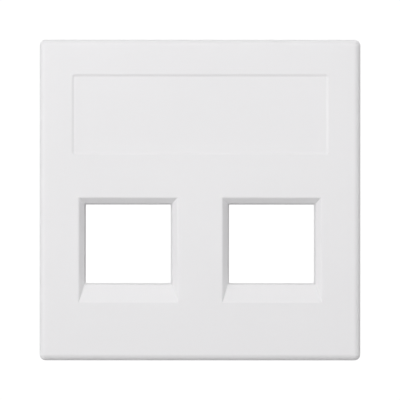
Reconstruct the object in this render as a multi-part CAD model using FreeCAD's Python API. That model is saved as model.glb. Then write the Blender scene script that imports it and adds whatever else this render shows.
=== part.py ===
"""Keystone faceplate: a one-piece moulded centre plate with a label recess and two bevelled plug windows.

Millimetres. X to the right and Z up, as the plate hangs on a wall, and Y into the wall.
The origin is the centre of the rear rim's plane, and the front face looks along -Y.
"""

import math
import os

import FreeCAD, Part

os.makedirs("parts", exist_ok=True)
V = FreeCAD.Vector

# outer shell
PLATE = 55.0  # width and height at the rear rim
DEPTH = 8.0  # front face to rear rim
DRAFT_DEG = 0.5  # moulding draft of the side walls, widest at the rim
CORNER_R = 1.03  # the four corners, seen from the front
FRONT_R = 1.13  # rounding of the front edge, all the way round
FRONT_WALL = 2.2  # thickness of the front wall
SIDE_WALL = 1.5  # thickness of the rim
INNER_CORNER_R = 0.8
INNER_ROOT_R = 0.4

# plug windows
WINDOW_W = 14.53  # clear width, at the rear of the land
WINDOW_H = 13.42  # clear height
WINDOW_X = 12.27  # each window's centre from the plate's centre line
WINDOW_Z = -7.51  # below the plate's centre
LAND_TAPER = 0.27  # how much the land closes in on each side, from the bevel to its rear end
BEVEL_DEPTH = 1.29  # depth of the bevels below the front face
BEVEL_SIDE = 0.91  # width of the left, right and top bevels
BEVEL_BOTTOM = 3.13  # width of the bottom bevel, where a finger reaches the plug's latch
LAND_END = 4.2  # depth of the land's rear end below the front face
LIP_R = 0.5  # rounding between front face and bevel
LAND_CORNER_R = 0.15  # corners of the land

# label recess
LABEL_W = 43.58  # to the middle of its sloping walls, as are the top and the bottom
LABEL_TOP = 21.31
LABEL_BOTTOM = 7.9
LABEL_DEPTH = 0.19
LABEL_WALL_W = 0.36  # width of the gently sloping wall all round
LABEL_LIP_R = 0.12  # rounding at the wall's top and foot
LABEL_CORNER_R = 0.35

# rear collars round the windows, and ribs
COLLAR_WALL = 1.2
COLLAR_CORNER_R = 0.8
RIB_T = 0.9
RIB_END = 3.9  # depth of the ribs' rear edge below the front face
RIB_Z = -0.05  # the cross rib, in line with the collars' top walls

# snap hooks
HOOK_X = 24.45  # outer face of each arm
HOOK_T = 1.4
HOOK_Z = 16.5  # above and below the centre
HOOK_W = 6.0
HOOK_REACH = 3.6  # tip behind the rim
HOOK_CATCH = 1.0  # catching edge behind the rim
HOOK_NOSE = 0.8  # how far the nose stands out
HOOK_ROOT_R = 0.5

TAN = math.tan(math.radians(DRAFT_DEG))


def y_at(depth):
    """The Y of a depth below the front face."""
    return depth - DEPTH


def frustum(y0, x0, z0, y1, x1, z1):
    """A block with flat drafted sides between two rectangles, each given as (low, high) in X and in Z."""
    return Part.makeWedge(
        x0[0], y0, z0[0], z1[0], x1[0], x0[1], y1, z0[1], z1[1], x1[1]
    )


def along_y(shape):
    """The edges that run from the front to the back."""
    out = []
    for e in shape.Edges:
        a, b = e.Vertexes[0].Point, e.Vertexes[-1].Point
        if abs(b.y - a.y) > 0.8 * (b - a).Length > 0:
            out.append(e)
    return out


def edges_at(shape, y):
    """The edges that lie in the plane at this Y."""
    return [
        e
        for e in shape.Edges
        if all(abs(v.Point.y - y) < 1e-6 for v in e.Vertexes)
        and abs(e.BoundBox.YMax - e.BoundBox.YMin) < 1e-6
    ]


def square(y, inset=0.0):
    """Half width of the outer wall at this Y, less an inset."""
    h = PLATE / 2 + y * TAN - inset
    return (-h, h)


def make_shell():
    outer = frustum(y_at(0), square(y_at(0)), square(y_at(0)), 0.0, square(0), square(0))
    outer = outer.makeFillet(CORNER_R, along_y(outer))
    outer = outer.makeFillet(FRONT_R, edges_at(outer, y_at(0)))
    y0, y1 = y_at(FRONT_WALL), 1.0
    a, b = square(y0, SIDE_WALL), square(y1, SIDE_WALL)
    inner = frustum(y0, a, a, y1, b, b)
    inner = inner.makeFillet(INNER_CORNER_R, along_y(inner))
    inner = inner.makeFillet(INNER_ROOT_R, edges_at(inner, y0))
    return outer.cut(inner)


def arc(p, q, r):
    return Part.Arc(p, q, r).toShape()


def line(p, q):
    return Part.makeLine(p, q)


def flank(stations, radii, side, place, above, below):
    """One side of a tapering opening's section, from in front of the face to behind it.

    stations are (distance from the opening's middle line, depth), from the front face down. radii rounds each station
    but the last. side is -1 or +1. place turns (distance, depth) into a point.
    """

    def at(u, d):
        return place(side * u, d)

    pts = [(stations[0][0] + 5.0, 0.0)] + list(stations)
    # the last run goes on past its end, so that the cut is clean
    (ua, da), (ub, db) = pts[-2], pts[-1]
    n = math.hypot(ub - ua, db - da)
    pts[-1] = (ub + (ub - ua) / n * below, db + (db - da) / n * below)
    edges, at_now = [], None
    for i in range(1, len(pts) - 1):
        (u0, d0), (u1, d1), (u2, d2) = pts[i - 1], pts[i], pts[i + 1]
        l1, l2 = math.hypot(u1 - u0, d1 - d0), math.hypot(u2 - u1, d2 - d1)
        a = ((u1 - u0) / l1, (d1 - d0) / l1)
        b = ((u2 - u1) / l2, (d2 - d1) / l2)
        turn = math.acos(max(-1.0, min(1.0, a[0] * b[0] + a[1] * b[1])))
        sign = 1.0 if a[0] * b[1] - a[1] * b[0] > 0 else -1.0
        r = radii[i - 1]
        t = r * math.tan(turn / 2)
        p = (u1 - a[0] * t, d1 - a[1] * t)
        q = (u1 + b[0] * t, d1 + b[1] * t)
        # the arc's middle lies on the line from the corner to the arc's centre
        c = (p[0] - sign * a[1] * r, p[1] + sign * a[0] * r)
        to = (u1 - c[0], d1 - c[1])
        k = r / math.hypot(*to)
        m = (c[0] + to[0] * k, c[1] + to[1] * k)
        if i == 1:
            edges.append(line(at(p[0], -above), at(*p)))
        else:
            edges.append(line(at(*at_now), at(*p)))
        edges.append(arc(at(*p), at(*m), at(*q)))
        at_now = q
    edges.append(line(at(*at_now), at(*pts[-1])))
    return edges


def section_tool(left, right, radii, place, sweep, above=1.0, below=0.0):
    """A closed section swept straight along one way. left and right are its two flanks' stations."""
    a = flank(left, radii, -1, place, above, below)
    b = flank(right, radii, +1, place, above, below)
    top = line(a[0].Vertexes[0].Point, b[0].Vertexes[0].Point)
    bottom = line(a[-1].Vertexes[-1].Point, b[-1].Vertexes[-1].Point)
    wire = Part.Wire(Part.__sortEdges__(a + b + [top, bottom]))
    return Part.Face(wire).extrude(sweep)


def window_tool(cx):
    """The whole void of one window: a funnel whose flat bevels meet in sharp hip lines, and the land behind it."""
    far = 40.0
    hw, hh = WINDOW_W / 2, WINDOW_H / 2
    deeper = 0.5  # the funnel runs on this far, inside the land

    def bevel(half, width):
        outer = half + LAND_TAPER + width
        return [(outer, 0.0), (outer - width * (1 + deeper / BEVEL_DEPTH), BEVEL_DEPTH + deeper)]

    side, top, bottom = bevel(hw, BEVEL_SIDE), bevel(hh, BEVEL_SIDE), bevel(hh, BEVEL_BOTTOM)
    across = section_tool(
        side, side, [LIP_R], lambda u, d: V(cx + u, y_at(d), -far), V(0, 0, 2 * far)
    )
    upright = section_tool(
        bottom, top, [LIP_R], lambda u, d: V(-far, y_at(d), WINDOW_Z + u), V(2 * far, 0, 0)
    )
    funnel = across.common(upright)
    slope = LAND_TAPER / (LAND_END - BEVEL_DEPTH)
    d0, d1 = BEVEL_DEPTH - 0.8, LAND_END + 0.6
    g0, g1 = slope * (LAND_END - d0), slope * (LAND_END - d1)
    land = frustum(
        y_at(d0),
        (cx - hw - g0, cx + hw + g0),
        (WINDOW_Z - hh - g0, WINDOW_Z + hh + g0),
        y_at(d1),
        (cx - hw - g1, cx + hw + g1),
        (WINDOW_Z - hh - g1, WINDOW_Z + hh + g1),
    )
    land = land.makeFillet(LAND_CORNER_R, along_y(land))
    return funnel.fuse(land)


def label_tool():
    """The void of the label recess, whose walls slope gently and end in a rounded foot."""
    mid = (LABEL_TOP + LABEL_BOTTOM) / 2
    hw, hh = LABEL_W / 2, (LABEL_TOP - LABEL_BOTTOM) / 2
    above = 0.5  # the void runs on this far in front of the face
    a, b = LABEL_WALL_W * (0.5 + above / LABEL_DEPTH), -LABEL_WALL_W / 2
    y0, y1 = y_at(-above), y_at(LABEL_DEPTH)
    block = frustum(
        y0,
        (-hw - a, hw + a),
        (mid - hh - a, mid + hh + a),
        y1,
        (-hw - b, hw + b),
        (mid - hh - b, mid + hh + b),
    )
    corners = []
    for e in block.Edges:
        p, q = e.Vertexes[0].Point, e.Vertexes[-1].Point
        if abs(q.y - p.y) > 1e-6:
            corners.append(e)
    block = block.makeFillet(LABEL_CORNER_R, corners)
    return block.makeFillet(LABEL_LIP_R, edges_at(block, y1))


def round_label_lip(body):
    """Rounds the edge between the front face and the label recess."""
    mid = (LABEL_TOP + LABEL_BOTTOM) / 2
    hw, hh = LABEL_W / 2 + LABEL_WALL_W, (LABEL_TOP - LABEL_BOTTOM) / 2 + LABEL_WALL_W
    lip = [
        e
        for e in edges_at(body, y_at(0))
        if all(abs(v.Point.x) < hw and abs(v.Point.z - mid) < hh for v in e.Vertexes)
    ]
    return body.makeFillet(LABEL_LIP_R, lip)


def collar(cx):
    """The wall round a window behind the front wall, drafted to be thickest at its root."""
    y0, y1 = y_at(FRONT_WALL - 0.5), y_at(LAND_END)
    grow = (y1 - y0) * math.tan(math.radians(1.0))
    hx, hz = WINDOW_W / 2 + COLLAR_WALL, WINDOW_H / 2 + COLLAR_WALL
    block = frustum(
        y0,
        (cx - hx - grow, cx + hx + grow),
        (WINDOW_Z - hz - grow, WINDOW_Z + hz + grow),
        y1,
        (cx - hx, cx + hx),
        (WINDOW_Z - hz, WINDOW_Z + hz),
    )
    return block.makeFillet(COLLAR_CORNER_R, along_y(block))


def rib(x, z):
    """A drafted rib that fills the given X and Z ranges. The thin way tapers towards its rear edge."""
    y0, y1 = y_at(FRONT_WALL - 0.5), y_at(RIB_END)
    grow = (y1 - y0) * math.tan(math.radians(0.75))
    thin_x = (x[1] - x[0]) < (z[1] - z[0])
    gx, gz = (grow, 0.0) if thin_x else (0.0, grow)
    return frustum(y0, (x[0] - gx, x[1] + gx), (z[0] - gz, z[1] + gz), y1, x, z)


def ribs():
    reach = PLATE / 2 - SIDE_WALL + 0.3
    t = RIB_T / 2
    side_x = WINDOW_X + WINDOW_W / 2 + COLLAR_WALL - 0.4
    low_z = WINDOW_Z - WINDOW_H / 2 - COLLAR_WALL + 0.4
    out = [
        rib((-t, t), (-reach, reach)),
        rib((-reach, reach), (RIB_Z - t, RIB_Z + t)),
    ]
    for s in (-1, 1):
        x = sorted((s * side_x, s * reach))
        out.append(rib(x, (WINDOW_Z - t, WINDOW_Z + t)))
        cx = s * WINDOW_X
        out.append(rib((cx - t, cx + t), (-reach, low_z)))
        out.append(rib((cx - t, cx + t), (RIB_Z - t, reach)))
    return out


def hook(side, cz):
    """A snap hook: a springy arm that stands up behind the front wall, with its nose turned outwards."""
    root, r = y_at(FRONT_WALL), HOOK_ROOT_R
    xo, xi = HOOK_X, HOOK_X - HOOK_T
    k = r * (1 - math.sqrt(0.5))

    def p(x, y):
        return V(side * x, y, cz - HOOK_W / 2)

    tip = HOOK_REACH
    pts_out = [
        p(xo, root + r),
        p(xo - 0.05, HOOK_CATCH),
        p(xo + HOOK_NOSE, HOOK_CATCH + 0.25),
        p(xo + HOOK_NOSE, HOOK_CATCH + 0.65),
        p(xi + 0.75, tip),
        p(xi + 0.25, tip),
        p(xi + 0.05, tip - 0.3),
        p(xi, root + r),
    ]
    edges = [line(a, b) for a, b in zip(pts_out, pts_out[1:])]
    edges.append(arc(p(xi, root + r), p(xi - k, root + k), p(xi - r, root)))
    edges.append(line(p(xi - r, root), p(xi - r, root - 0.4)))
    edges.append(line(p(xi - r, root - 0.4), p(xo + r, root - 0.4)))
    edges.append(line(p(xo + r, root - 0.4), p(xo + r, root)))
    edges.append(arc(p(xo + r, root), p(xo + k, root + k), p(xo, root + r)))
    return Part.Face(Part.Wire(Part.__sortEdges__(edges))).extrude(V(0, 0, HOOK_W))


def make_faceplate():
    body = make_shell()
    added = [collar(-WINDOW_X), collar(WINDOW_X)] + ribs()
    added += [hook(s, z) for s in (-1, 1) for z in (-HOOK_Z, HOOK_Z)]
    body = body.fuse(added)
    body = body.cut([window_tool(-WINDOW_X), window_tool(WINDOW_X), label_tool()])
    body = body.removeSplitter()
    body = round_label_lip(body)
    solid = body.Solids[0]
    return solid, len(body.Solids)


faceplate, count = make_faceplate()
faceplate.exportStep("parts/faceplate.step")
box = faceplate.BoundBox
print("faceplate", "solids", count, "valid", faceplate.isValid(), "faces", len(faceplate.Faces))
print("volume mm3", round(faceplate.Volume, 2))
print("box", [round(v, 3) for v in (box.XMin, box.XMax, box.YMin, box.YMax, box.ZMin, box.ZMax)])
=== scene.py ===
import math

import bmesh
import bpy
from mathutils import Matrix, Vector


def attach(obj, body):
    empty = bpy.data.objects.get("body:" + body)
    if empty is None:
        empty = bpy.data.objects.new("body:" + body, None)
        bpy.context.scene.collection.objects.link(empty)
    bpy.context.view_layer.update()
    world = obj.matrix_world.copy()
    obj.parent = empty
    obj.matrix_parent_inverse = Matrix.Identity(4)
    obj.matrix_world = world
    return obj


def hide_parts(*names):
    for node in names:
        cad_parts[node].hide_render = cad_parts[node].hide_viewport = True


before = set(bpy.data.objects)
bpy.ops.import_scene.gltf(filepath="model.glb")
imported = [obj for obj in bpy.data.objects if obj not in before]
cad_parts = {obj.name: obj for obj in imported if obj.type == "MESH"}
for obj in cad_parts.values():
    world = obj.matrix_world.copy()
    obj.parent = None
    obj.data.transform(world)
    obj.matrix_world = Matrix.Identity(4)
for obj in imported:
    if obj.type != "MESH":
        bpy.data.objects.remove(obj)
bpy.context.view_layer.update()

MM = 0.001

# The plate's dimensions in millimetres. X to the right, Y into the wall, Z up; the rear rim lies at Y = 0.
PLATE, DEPTH = 55.0, 8.0
T = math.tan(math.radians(0.5))
CORNER_R, FRONT_R = 1.03, 1.13
FRONT_WALL, SIDE_WALL = 2.2, 1.5
INNER_CORNER_R, INNER_ROOT_R = 0.8, 0.4
WINDOW_W, WINDOW_H, WINDOW_X, WINDOW_Z = 14.53, 13.42, 12.27, -7.51
LAND_TAPER, BEVEL_DEPTH, BEVEL_SIDE, BEVEL_BOTTOM = 0.27, 1.29, 0.91, 3.13
LAND_END, LIP_R, LAND_CORNER_R = 4.2, 0.5, 0.15
LABEL_W, LABEL_TOP, LABEL_BOTTOM, LABEL_DEPTH = 43.58, 21.31, 7.9, 0.19
LABEL_WALL_W, LABEL_LIP_R, LABEL_CORNER_R = 0.36, 0.12, 0.35
COLLAR_WALL, COLLAR_CORNER_R = 1.2, 0.8
RIB_T, RIB_END, RIB_Z = 0.9, 3.9, -0.05
HOOK_X, HOOK_T, HOOK_Z, HOOK_W = 24.45, 1.4, 16.5, 6.0
HOOK_REACH, HOOK_CATCH, HOOK_NOSE, HOOK_ROOT_R = 3.6, 1.0, 0.8, 0.5
EDGE_R = 0.09  # the small rounding that every moulded edge has

N = 12  # segments in each rounded corner


# ---------------------------------------------------------------- mesh


class Skin:
    """A closed mesh put together from rings of vertices, each ring running the same way round."""

    def __init__(self):
        self.verts, self.faces = [], []

    def ring(self, pts, depth):
        """Adds (x, z) points at one depth below the front face, or at one depth each, and returns their numbers."""
        depths = depth if isinstance(depth, list) else [depth] * len(pts)
        first = len(self.verts)
        self.verts += [(x, d - DEPTH, z) for (x, z), d in zip(pts, depths)]
        return list(range(first, len(self.verts)))

    def bridge(self, a, b):
        """Quads between two rings of equal length."""
        n = len(a)
        for i in range(n):
            j = (i + 1) % n
            self.faces.append((a[i], a[j], b[j], b[i]))

    def bridge_all(self, rings):
        for a, b in zip(rings, rings[1:]):
            self.bridge(a, b)


def corner_angles(split=None, n=N):
    """Angles of one corner's points, 0 to 90 degrees, with a point exactly at split if it is given."""
    if split is None:
        return [math.pi / 2 * i / n for i in range(n + 1)]
    h = n // 2
    return [split * i / h for i in range(h + 1)] + [
        split + (math.pi / 2 - split) * i / h for i in range(1, h + 1)
    ]


def rounded(x0, x1, z0, z1, r, angles=None):
    """Points round a rectangle with rounded corners, from the lower right corner, anticlockwise seen from the front."""
    angles = angles or [corner_angles()] * 4
    out = []
    for k, (cx, cz) in enumerate(
        ((x1 - r, z0 + r), (x1 - r, z1 - r), (x0 + r, z1 - r), (x0 + r, z0 + r))
    ):
        start = -math.pi / 2 + k * math.pi / 2
        for a in angles[k]:
            out.append((cx + r * math.cos(start + a), cz + r * math.sin(start + a)))
    return out


def fall(half, width, depth, lip, foot=0.0, floor=False):
    """How a sloping wall's distance from the middle line falls with depth, with a rounded lip and perhaps a rounded foot.

    half is the distance at the sharp lip. Returns the function and the depths where its curves need points.
    """
    th = math.atan2(depth, width)
    ut = half + lip * math.tan(th / 2)
    lip_end = lip * (1 - math.cos(th))
    samples = [lip * (1 - math.cos(th * i / 10)) for i in range(11)]
    foot_start = depth - foot * (1 - math.cos(th)) if floor else None
    uf = half - width - foot * math.tan(th / 2)
    if floor:
        samples += [depth - foot * (1 - math.cos(th * i / 8)) for i in range(9)]

    def f(d):
        if d <= 0:
            return ut
        if d < lip_end:
            return ut - math.sqrt(max(0.0, lip * lip - (lip - d) ** 2))
        if floor and d > foot_start:
            k = foot - (depth - d)
            return uf + math.sqrt(max(0.0, foot * foot - k * k))
        return half - d / math.tan(th)

    return f, samples


def merged(values, gap=1e-4):
    out = []
    for v in sorted(values):
        if not out or v - out[-1] > gap:
            out.append(v)
    return out


def window(skin, cx):
    """A window from its lip to the land's rear end. Returns its outermost and innermost rings."""
    hw, hh = WINDOW_W / 2, WINDOW_H / 2
    slope = LAND_TAPER / (LAND_END - BEVEL_DEPTH)
    side, s1 = fall(hw + LAND_TAPER + BEVEL_SIDE, BEVEL_SIDE, BEVEL_DEPTH, LIP_R)
    top, s2 = fall(hh + LAND_TAPER + BEVEL_SIDE, BEVEL_SIDE, BEVEL_DEPTH, LIP_R)
    low, s3 = fall(hh + LAND_TAPER + BEVEL_BOTTOM, BEVEL_BOTTOM, BEVEL_DEPTH, LIP_R)
    depths = merged(s1 + s2 + s3)
    rings = []
    for d in depths:
        x0, x1 = cx - side(d), cx + side(d)
        z0, z1 = WINDOW_Z - low(d), WINDOW_Z + top(d)
        rings.append(skin.ring([(x1, z0), (x1, z1), (x0, z1), (x0, z0)], d))
    skin.bridge_all(rings)

    # where the funnel meets the land: level along the sides, and a little deeper round the land's corners
    run_side, run_low = BEVEL_DEPTH / BEVEL_SIDE, BEVEL_DEPTH / BEVEL_BOTTOM
    r = LAND_CORNER_R

    def split(ks, kz):
        """The corner angle, from the side that lies along Z, at which both bevels are equally deep."""
        lo, hi = 0.0, math.pi / 2
        for _ in range(60):
            a = (lo + hi) / 2
            if (1 - math.cos(a)) * ks < (1 - math.sin(a)) * kz:
                lo = a
            else:
                hi = a
        return lo

    sym, bot = split(run_side, run_side), split(run_side, run_low)
    # the corners are met in the order lower right, upper right, upper left, lower left
    angles = [
        corner_angles(math.pi / 2 - bot),
        corner_angles(sym),
        corner_angles(math.pi / 2 - sym),
        corner_angles(bot),
    ]

    def land(d):
        g = slope * (LAND_END - d)
        return rounded(
            cx - hw - g, cx + hw + g, WINDOW_Z - hh - g, WINDOW_Z + hh + g, r, angles
        )

    pts = land(BEVEL_DEPTH)
    ds = [BEVEL_DEPTH] * len(pts)
    for _ in range(6):
        for i, (x, z) in enumerate(pts):
            kz = run_low if z < WINDOW_Z else run_side
            dx = hw + LAND_TAPER - abs(x - cx)
            dz = hh + LAND_TAPER - abs(z - WINDOW_Z)
            ds[i] = BEVEL_DEPTH + max(0.0, min(dx * run_side, dz * kz))
        pts = [land(d)[i] for i, d in enumerate(ds)]
    edge = skin.ring(pts, list(ds))
    last = rings[-1]
    m = N + 1
    for k in range(4):
        arc = edge[k * m : (k + 1) * m]
        for a, b in zip(arc, arc[1:]):
            skin.faces.append((last[k], b, a))
        nxt = edge[((k + 1) % 4) * m]
        skin.faces.append((last[k], last[(k + 1) % 4], nxt, arc[-1]))
    inner = [edge]
    for d in (BEVEL_DEPTH + 0.3, LAND_END - EDGE_R * 1.0):
        inner.append(skin.ring(land(d), d))
    # the land's rear edge is slightly rounded
    g = slope * EDGE_R
    for i in range(1, 5):
        a = math.pi / 2 * i / 4
        grow = EDGE_R * (1 - math.cos(a))
        d = LAND_END - EDGE_R * (1 - math.sin(a))
        inner.append(
            skin.ring(
                rounded(
                    cx - hw - g - grow,
                    cx + hw + g + grow,
                    WINDOW_Z - hh - g - grow,
                    WINDOW_Z + hh + g + grow,
                    r + grow,
                    angles,
                ),
                d,
            )
        )
    for a, b in zip(inner, inner[1:]):
        skin.bridge(a, b)
    return rings[0], inner[-1]


def label(skin):
    """The label recess. Returns its lip ring and its floor ring."""
    mid = (LABEL_TOP + LABEL_BOTTOM) / 2
    hw, hh = LABEL_W / 2, (LABEL_TOP - LABEL_BOTTOM) / 2
    # how far the wall stands outside its own middle line
    wall, samples = fall(LABEL_WALL_W / 2, LABEL_WALL_W, LABEL_DEPTH, LABEL_LIP_R, LABEL_LIP_R, True)
    rings = []
    for d in merged(samples):
        g = wall(d)
        pts = rounded(-hw - g, hw + g, mid - hh - g, mid + hh + g, LABEL_CORNER_R + g)
        rings.append(skin.ring(pts, d))
    skin.bridge_all(rings)
    return rings[0], rings[-1]


def outer(skin):
    """The front edge's rounding, the side walls, the rim, the inner walls and the root of the cavity.
    Returns the ring that bounds the front face and the one that bounds the cavity's floor."""
    delta = math.radians(0.5)
    rings = []

    def sq(h, r):
        return rounded(-h, h, -h, h, r)

    yc = -DEPTH + FRONT_R
    xc = PLATE / 2 + yc * T - FRONT_R / math.cos(delta)
    for i in range(17):
        a = (math.pi / 2 - delta) * i / 16
        h, y = xc + FRONT_R * math.sin(a), yc - FRONT_R * math.cos(a)
        c = PLATE / 2 + y * T - CORNER_R
        rings.append(skin.ring(sq(h, max(h - c, 0.02)), y + DEPTH))
    for y in (-5.0, -3.0, -1.0):
        rings.append(skin.ring(sq(PLATE / 2 + y * T, CORNER_R), y + DEPTH))
    for i in range(5):  # the rim's outer edge
        a = math.pi / 2 * i / 4
        h = PLATE / 2 - EDGE_R * (1 - math.cos(a))
        y = -EDGE_R * (1 - math.sin(a))
        rings.append(skin.ring(sq(h, CORNER_R - EDGE_R * (1 - math.cos(a))), y + DEPTH))
    hi = PLATE / 2 - SIDE_WALL
    for i in range(5):  # the rim's inner edge
        a = math.pi / 2 * i / 4
        g = EDGE_R * (1 - math.sin(a))
        y = -EDGE_R * (1 - math.cos(a))
        rings.append(skin.ring(sq(hi + g, INNER_CORNER_R + g), y + DEPTH))
    for y in (-2.0, -4.0):
        rings.append(skin.ring(sq(hi + y * T, INNER_CORNER_R), y + DEPTH))
    y0 = -DEPTH + FRONT_WALL
    yr = y0 + INNER_ROOT_R
    xr = hi + yr * T - INNER_ROOT_R / math.cos(delta)
    for i in range(9):
        a = (math.pi / 2 - delta) * (1 - i / 8)
        h, y = xr + INNER_ROOT_R * math.sin(a), yr - INNER_ROOT_R * math.cos(a)
        c = hi + y * T - INNER_CORNER_R
        rings.append(skin.ring(sq(h, h - c), y + DEPTH))
    for a, b in zip(rings, rings[1:]):
        skin.bridge(b, a)
    return rings[0], rings[-1]


def collar(skin, cx, inner):
    """A window's collar, from the land's rear end round to the cavity's floor. Returns its root ring."""
    hx, hz = WINDOW_W / 2 + COLLAR_WALL, WINDOW_H / 2 + COLLAR_WALL
    t1 = math.tan(math.radians(1.0))
    rings = [inner]
    for i in range(5):
        a = math.pi / 2 * i / 4
        g = -EDGE_R * (1 - math.sin(a))
        d = LAND_END - EDGE_R * (1 - math.cos(a))
        rings.append(
            skin.ring(
                rounded(cx - hx - g, cx + hx + g, WINDOW_Z - hz - g, WINDOW_Z + hz + g, COLLAR_CORNER_R + g),
                d,
            )
        )
    root_r = 0.25
    g = (LAND_END - FRONT_WALL - root_r) * t1
    for i in range(7):
        a = math.pi / 2 * i / 6
        out = g + root_r * (1 - math.cos(a))
        d = FRONT_WALL + root_r * (1 - math.sin(a))
        rings.append(
            skin.ring(
                rounded(cx - hx - out, cx + hx + out, WINDOW_Z - hz - out, WINDOW_Z + hz + out, COLLAR_CORNER_R + out),
                d,
            )
        )
    for a, b in zip(rings, rings[1:]):
        skin.bridge(a, b)
    return rings[-1]


def fill_flat(bm, verts, loops, normal):
    """Fills the flat region between an outer loop and the loops inside it."""
    edges = []
    for loop in loops:
        for a, b in zip(loop, loop[1:] + loop[:1]):
            e = bm.edges.get((verts[a], verts[b])) or bm.edges.new((verts[a], verts[b]))
            edges.append(e)
    made = bmesh.ops.triangle_fill(bm, edges=edges, use_beauty=True, use_dissolve=False, normal=normal)
    return [f for f in made["geom"] if isinstance(f, bmesh.types.BMFace)]


def shell_mesh():
    skin = Skin()
    front, floor = outer(skin)
    lips, roots = [], []
    for cx in (-WINDOW_X, WINDOW_X):
        lip, inner = window(skin, cx)
        lips.append(lip)
        roots.append(collar(skin, cx, inner))
    lab_lip, lab_floor = label(skin)
    bm = bmesh.new()
    verts = [bm.verts.new(v) for v in skin.verts]
    for f in skin.faces:
        bm.faces.new([verts[i] for i in f])
    fill_flat(bm, verts, [front, lab_lip] + lips, Vector((0, -1, 0)))
    fill_flat(bm, verts, [floor] + roots, Vector((0, 1, 0)))
    bm.faces.new([verts[i] for i in lab_floor])
    bmesh.ops.recalc_face_normals(bm, faces=bm.faces)
    return bm


def box_bm(bm, x, y, z, shrink_front=(0.0, 0.0)):
    """A drafted block: x, z are (low, high) at the rear end y[1], and grow by shrink_front at the front end y[0]."""
    gx, gz = shrink_front
    lo = [
        bm.verts.new(p)
        for p in (
            (x[0] - gx, y[0], z[0] - gz),
            (x[1] + gx, y[0], z[0] - gz),
            (x[1] + gx, y[0], z[1] + gz),
            (x[0] - gx, y[0], z[1] + gz),
        )
    ]
    hi = [
        bm.verts.new(p)
        for p in ((x[0], y[1], z[0]), (x[1], y[1], z[0]), (x[1], y[1], z[1]), (x[0], y[1], z[1]))
    ]
    faces = [bm.faces.new(lo), bm.faces.new(hi[::-1])]
    for i in range(4):
        j = (i + 1) % 4
        faces.append(bm.faces.new((lo[i], hi[i], hi[j], lo[j])))
    return faces, [bm.edges.get((hi[i], hi[(i + 1) % 4])) for i in range(4)]


def ribs_bm():
    """Each rib as a block with rounded rear edges, in a list of separate meshes."""
    reach = PLATE / 2 - SIDE_WALL + 0.3
    t = RIB_T / 2
    side_x = WINDOW_X + WINDOW_W / 2 + COLLAR_WALL - 0.4
    low_z = WINDOW_Z - WINDOW_H / 2 - COLLAR_WALL + 0.4
    spans = [((-t, t), (-reach, reach)), ((-reach, reach), (RIB_Z - t, RIB_Z + t))]
    for s in (-1, 1):
        x = tuple(sorted((s * side_x, s * reach)))
        cx = s * WINDOW_X
        spans.append((x, (WINDOW_Z - t, WINDOW_Z + t)))
        spans.append(((cx - t, cx + t), (-reach, low_z)))
        spans.append(((cx - t, cx + t), (RIB_Z - t, reach)))
    y0, y1 = -DEPTH + FRONT_WALL - 0.5, -DEPTH + RIB_END
    grow = (y1 - y0) * math.tan(math.radians(0.75))
    out = []
    for x, z in spans:
        thin_x = (x[1] - x[0]) < (z[1] - z[0])
        bm = bmesh.new()
        _, edges = box_bm(bm, x, (y0, y1), z, (grow, 0) if thin_x else (0, grow))
        long_edges = [
            e
            for e in edges
            if abs(e.verts[0].co.z - e.verts[1].co.z) > RIB_T * 1.2
            or abs(e.verts[0].co.x - e.verts[1].co.x) > RIB_T * 1.2
        ]
        bmesh.ops.bevel(
            bm, geom=long_edges, offset=0.16, offset_type="OFFSET", segments=4, profile=0.5, affect="EDGES"
        )
        bmesh.ops.recalc_face_normals(bm, faces=bm.faces)
        out.append(bm)
    return out


def hook_bm(side, cz):
    """A snap hook's section swept along Z, with its edges slightly rounded."""
    root, r = -DEPTH + FRONT_WALL, HOOK_ROOT_R
    xo, xi, tip = HOOK_X, HOOK_X - HOOK_T, HOOK_REACH

    def arc(cx, cy, a0, a1, n=6):
        return [
            (cx + r * math.cos(a0 + (a1 - a0) * i / n), cy + r * math.sin(a0 + (a1 - a0) * i / n))
            for i in range(n + 1)
        ]

    pts = [(xi - r, root - 0.4), (xo + r, root - 0.4)]
    pts += arc(xo + r, root + r, -math.pi / 2, -math.pi)
    pts += [
        (xo - 0.05, HOOK_CATCH),
        (xo + HOOK_NOSE, HOOK_CATCH + 0.25),
        (xo + HOOK_NOSE, HOOK_CATCH + 0.65),
        (xi + 0.75, tip),
        (xi + 0.25, tip),
        (xi + 0.05, tip - 0.3),
    ]
    pts += arc(xi - r, root + r, 0.0, -math.pi / 2)
    bm = bmesh.new()
    a = [bm.verts.new((side * x, y, cz - HOOK_W / 2)) for x, y in pts]
    b = [bm.verts.new((side * x, y, cz + HOOK_W / 2)) for x, y in pts]
    bm.faces.new(a)
    bm.faces.new(b[::-1])
    n = len(pts)
    for i in range(n):
        j = (i + 1) % n
        bm.faces.new((a[i], b[i], b[j], a[j]))
    bmesh.ops.recalc_face_normals(bm, faces=bm.faces)
    sharp = []
    for e in bm.edges:
        if min(v.co.y for v in e.verts) < root + r - 1e-4:
            continue
        if len(e.link_faces) == 2 and e.calc_face_angle(0.0) > math.radians(24) and e.is_convex:
            sharp.append(e)
    bmesh.ops.bevel(
        bm, geom=sharp, offset=0.1, offset_type="OFFSET", segments=3, profile=0.5, affect="EDGES"
    )
    bmesh.ops.recalc_face_normals(bm, faces=bm.faces)
    return bm


def to_object(bm, name):
    me = bpy.data.meshes.new(name)
    bm.to_mesh(me)
    bm.free()
    ob = bpy.data.objects.new(name, me)
    bpy.context.scene.collection.objects.link(ob)
    return ob


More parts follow.
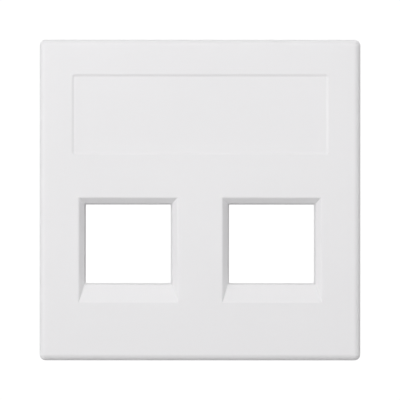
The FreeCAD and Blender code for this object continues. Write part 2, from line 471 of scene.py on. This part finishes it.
def join_solids(base, others):
    """Unites closed solids with the exact boolean, one after another, and leaves no modifier."""
    for other in others:
        mod = base.modifiers.new("unite", "BOOLEAN")
        mod.operation, mod.solver, mod.object = "UNION", "EXACT", other
        bpy.context.view_layer.update()
        dg = bpy.context.evaluated_depsgraph_get()
        me = bpy.data.meshes.new_from_object(base.evaluated_get(dg), depsgraph=dg)
        base.modifiers.clear()
        old = base.data
        base.data = me
        bpy.data.meshes.remove(old)
        data = other.data
        bpy.data.objects.remove(other)
        bpy.data.meshes.remove(data)


def build_plate():
    base = to_object(shell_mesh(), "plate_moulding")
    parts = [to_object(b, "rib") for b in ribs_bm()]
    parts += [to_object(hook_bm(s, z), "hook") for s in (-1, 1) for z in (-HOOK_Z, HOOK_Z)]
    join_solids(base, parts)
    me = base.data
    bm = bmesh.new()
    bm.from_mesh(me)
    bmesh.ops.scale(bm, vec=Vector((MM, MM, MM)), verts=bm.verts)
    bmesh.ops.remove_doubles(bm, verts=bm.verts, dist=2e-8)
    bmesh.ops.dissolve_degenerate(bm, dist=1e-8, edges=bm.edges)
    bmesh.ops.recalc_face_normals(bm, faces=bm.faces)
    many_sided = [f for f in bm.faces if len(f.verts) > 4]
    bmesh.ops.triangulate(bm, faces=many_sided, quad_method="BEAUTY", ngon_method="BEAUTY")
    for f in bm.faces:
        f.smooth = True
    for e in bm.edges:
        e.smooth = not (len(e.link_faces) == 2 and e.calc_face_angle(0.0) > math.radians(24))
    bm.to_mesh(me)
    bm.free()
    me.name = "plate_moulding"
    mod = base.modifiers.new("normals", "WEIGHTED_NORMAL")
    mod.mode, mod.weight, mod.keep_sharp = "FACE_AREA", 100, True
    return base


# ---------------------------------------------------------------- material


def plastic():
    """Satin white thermoplastic: an almost smooth moulded grain, with faint slow drifts of tone and gloss."""
    mat = bpy.data.materials.new("white_plastic_satin")
    mat.use_nodes = True
    nt = mat.node_tree
    nt.nodes.clear()
    new, link = nt.nodes.new, nt.links.new
    out = new("ShaderNodeOutputMaterial")
    bsdf = new("ShaderNodeBsdfPrincipled")
    link(bsdf.outputs["BSDF"], out.inputs["Surface"])
    bsdf.inputs["IOR"].default_value = 1.5
    bsdf.inputs["Metallic"].default_value = 0.0
    pos = new("ShaderNodeTexCoord")

    def noise(scale, detail=2.0, rough=0.5):
        n = new("ShaderNodeTexNoise")
        n.inputs["Scale"].default_value = scale
        n.inputs["Detail"].default_value = detail
        n.inputs["Roughness"].default_value = rough
        link(pos.outputs["Object"], n.inputs["Vector"])
        return n

    slow = noise(45.0, 2.0)
    ramp = new("ShaderNodeValToRGB")
    ramp.color_ramp.elements[0].position = 0.3
    ramp.color_ramp.elements[0].color = (0.868, 0.861, 0.872, 1)
    ramp.color_ramp.elements[1].position = 0.7
    ramp.color_ramp.elements[1].color = (0.880, 0.873, 0.884, 1)
    link(slow.outputs["Fac"], ramp.inputs["Fac"])
    link(ramp.outputs["Color"], bsdf.inputs["Base Color"])
    patch = noise(160.0, 3.0)
    rr = new("ShaderNodeMapRange")
    rr.inputs["From Min"].default_value = 0.3
    rr.inputs["From Max"].default_value = 0.7
    rr.inputs["To Min"].default_value = 0.42
    rr.inputs["To Max"].default_value = 0.50
    link(patch.outputs["Fac"], rr.inputs["Value"])
    link(rr.outputs["Result"], bsdf.inputs["Roughness"])
    grain = noise(9000.0, 3.0, 0.6)
    bump = new("ShaderNodeBump")
    bump.inputs["Strength"].default_value = 0.12
    bump.inputs["Distance"].default_value = 0.00002
    link(grain.outputs["Fac"], bump.inputs["Height"])
    link(bump.outputs["Normal"], bsdf.inputs["Normal"])
    return mat


def floor_material():
    """A pale floor that gives off its own even tone, so that no light's edge falls across it. It's clear from below."""
    mat = bpy.data.materials.new("studio_floor")
    mat.use_nodes = True
    nt = mat.node_tree
    nt.nodes.clear()
    out = nt.nodes.new("ShaderNodeOutputMaterial")
    glow = nt.nodes.new("ShaderNodeEmission")
    glow.inputs["Strength"].default_value = 1.0
    n = nt.nodes.new("ShaderNodeTexNoise")
    n.inputs["Scale"].default_value = 12.0
    r = nt.nodes.new("ShaderNodeValToRGB")
    r.color_ramp.elements[0].color = (0.56, 0.56, 0.56, 1)
    r.color_ramp.elements[1].color = (0.60, 0.60, 0.60, 1)
    nt.links.new(n.outputs["Fac"], r.inputs["Fac"])
    nt.links.new(r.outputs["Color"], glow.inputs["Color"])
    side = nt.nodes.new("ShaderNodeNewGeometry")
    clear = nt.nodes.new("ShaderNodeBsdfTransparent")
    mix = nt.nodes.new("ShaderNodeMixShader")
    nt.links.new(side.outputs["Backfacing"], mix.inputs["Fac"])
    nt.links.new(glow.outputs["Emission"], mix.inputs[1])
    nt.links.new(clear.outputs["BSDF"], mix.inputs[2])
    nt.links.new(mix.outputs["Shader"], out.inputs["Surface"])
    return mat


# ---------------------------------------------------------------- scene


plate = build_plate()
plate.data.materials.clear()
plate.data.materials.append(plastic())
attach(plate, "root")
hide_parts("faceplate")

scene = bpy.context.scene
scene.view_settings.view_transform = "Standard"
scene.view_settings.look = "None"

# floor: wide and pale, below the plate. It only shows, and neither shades nor lights the plate.
bm = bmesh.new()
bmesh.ops.create_grid(bm, x_segments=1, y_segments=1, size=1.25)
bmesh.ops.translate(bm, verts=bm.verts, vec=(0.0, 0.0, -0.075))
floor = to_object(bm, "studio_floor")
floor.data.materials.append(floor_material())
floor.visible_diffuse = floor.visible_glossy = floor.visible_transmission = False
floor.visible_volume_scatter = floor.visible_shadow = False

# camera: level with the plate's centre and all but square to it, far enough away for an almost flat perspective
FRAME_MM = 68.41  # width of the view at the front face
DIST = 1.5
YAW = math.radians(-0.5)  # the camera stands this little to the left of square
LENS = 36.0 * DIST / (FRAME_MM * MM)
cam_data = bpy.data.cameras.new("camera")
cam_data.type = "PERSP"
cam_data.sensor_width = 36.0
cam_data.lens = LENS
cam_data.clip_start = 0.01
cam_data.clip_end = 20.0
cam = bpy.data.objects.new("camera", cam_data)
scene.collection.objects.link(cam)
cam.location = (DIST * math.sin(YAW) - 0.015 * MM, -DEPTH * MM - DIST * math.cos(YAW), 0.004 * MM)
cam.rotation_euler = (math.pi / 2, math.radians(-0.028), YAW)
scene.camera = cam

# light: a white surround that only shows, large soft panels all round, and three small ones close in front that make
# the upper left of the face a little brighter than the rest
world = bpy.data.worlds.new("studio")
scene.world = world
world.use_nodes = True
wn = world.node_tree
wn.nodes.clear()
w_out = wn.nodes.new("ShaderNodeOutputWorld")
w_mix = wn.nodes.new("ShaderNodeMixShader")
w_seen = wn.nodes.new("ShaderNodeBackground")
w_lit = wn.nodes.new("ShaderNodeBackground")
w_path = wn.nodes.new("ShaderNodeLightPath")
w_seen.inputs["Color"].default_value = (1, 1, 1, 1)
w_seen.inputs["Strength"].default_value = 1.05
w_lit.inputs["Color"].default_value = (1, 1, 1, 1)
w_lit.inputs["Strength"].default_value = 0.0
wn.links.new(w_path.outputs["Is Camera Ray"], w_mix.inputs["Fac"])
wn.links.new(w_lit.outputs["Background"], w_mix.inputs[1])
wn.links.new(w_seen.outputs["Background"], w_mix.inputs[2])
wn.links.new(w_mix.outputs["Shader"], w_out.inputs["Surface"])


def panel(name, direction, distance, size, power):
    """A square soft light aimed at the plate's centre, which the camera doesn't see."""
    data = bpy.data.lights.new(name, "AREA")
    data.shape = "SQUARE"
    data.size = size
    data.energy = power
    ob = bpy.data.objects.new(name, data)
    scene.collection.objects.link(ob)
    ob.location = Vector(direction).normalized() * distance
    ob.rotation_euler = (-ob.location).to_track_quat("-Z", "Y").to_euler()
    ob.visible_camera = False


for name, direction, distance, size, power in (
    ("near_front", (0.0, -1.0, 0.0), 0.35, 0.2, 0.135),
    ("front_left_below", (-0.455, -0.766, -0.455), 1.0, 0.9, 2.451),
    ("front_right", (0.643, -0.766, 0.0), 1.0, 0.9, 2.381),
    ("near_above", (0.0, -0.766, 0.643), 0.35, 0.25, 0.283),
    ("near_left_above", (-0.455, -0.766, 0.455), 0.35, 0.25, 0.235),
    ("oblique_left", (-0.906, -0.423, 0.0), 1.0, 1.2, 5.009),
    ("side_above", (0.0, -0.087, 0.996), 1.0, 1.4, 1.542),
    ("side_right_below", (0.704, -0.087, -0.704), 1.0, 1.4, 2.87),
    ("rear_side_right_above", (0.676, 0.292, 0.676), 1.0, 1.6, 5.695),
    ("behind_above", (0.0, 0.707, 0.707), 1.0, 1.6, 4.413),
    ("behind_below", (0.0, 0.707, -0.707), 1.0, 1.6, 2.75),
    ("behind_left", (-0.707, 0.707, 0.0), 1.0, 1.6, 4.335),
):
    panel(name, direction, distance, size, power)
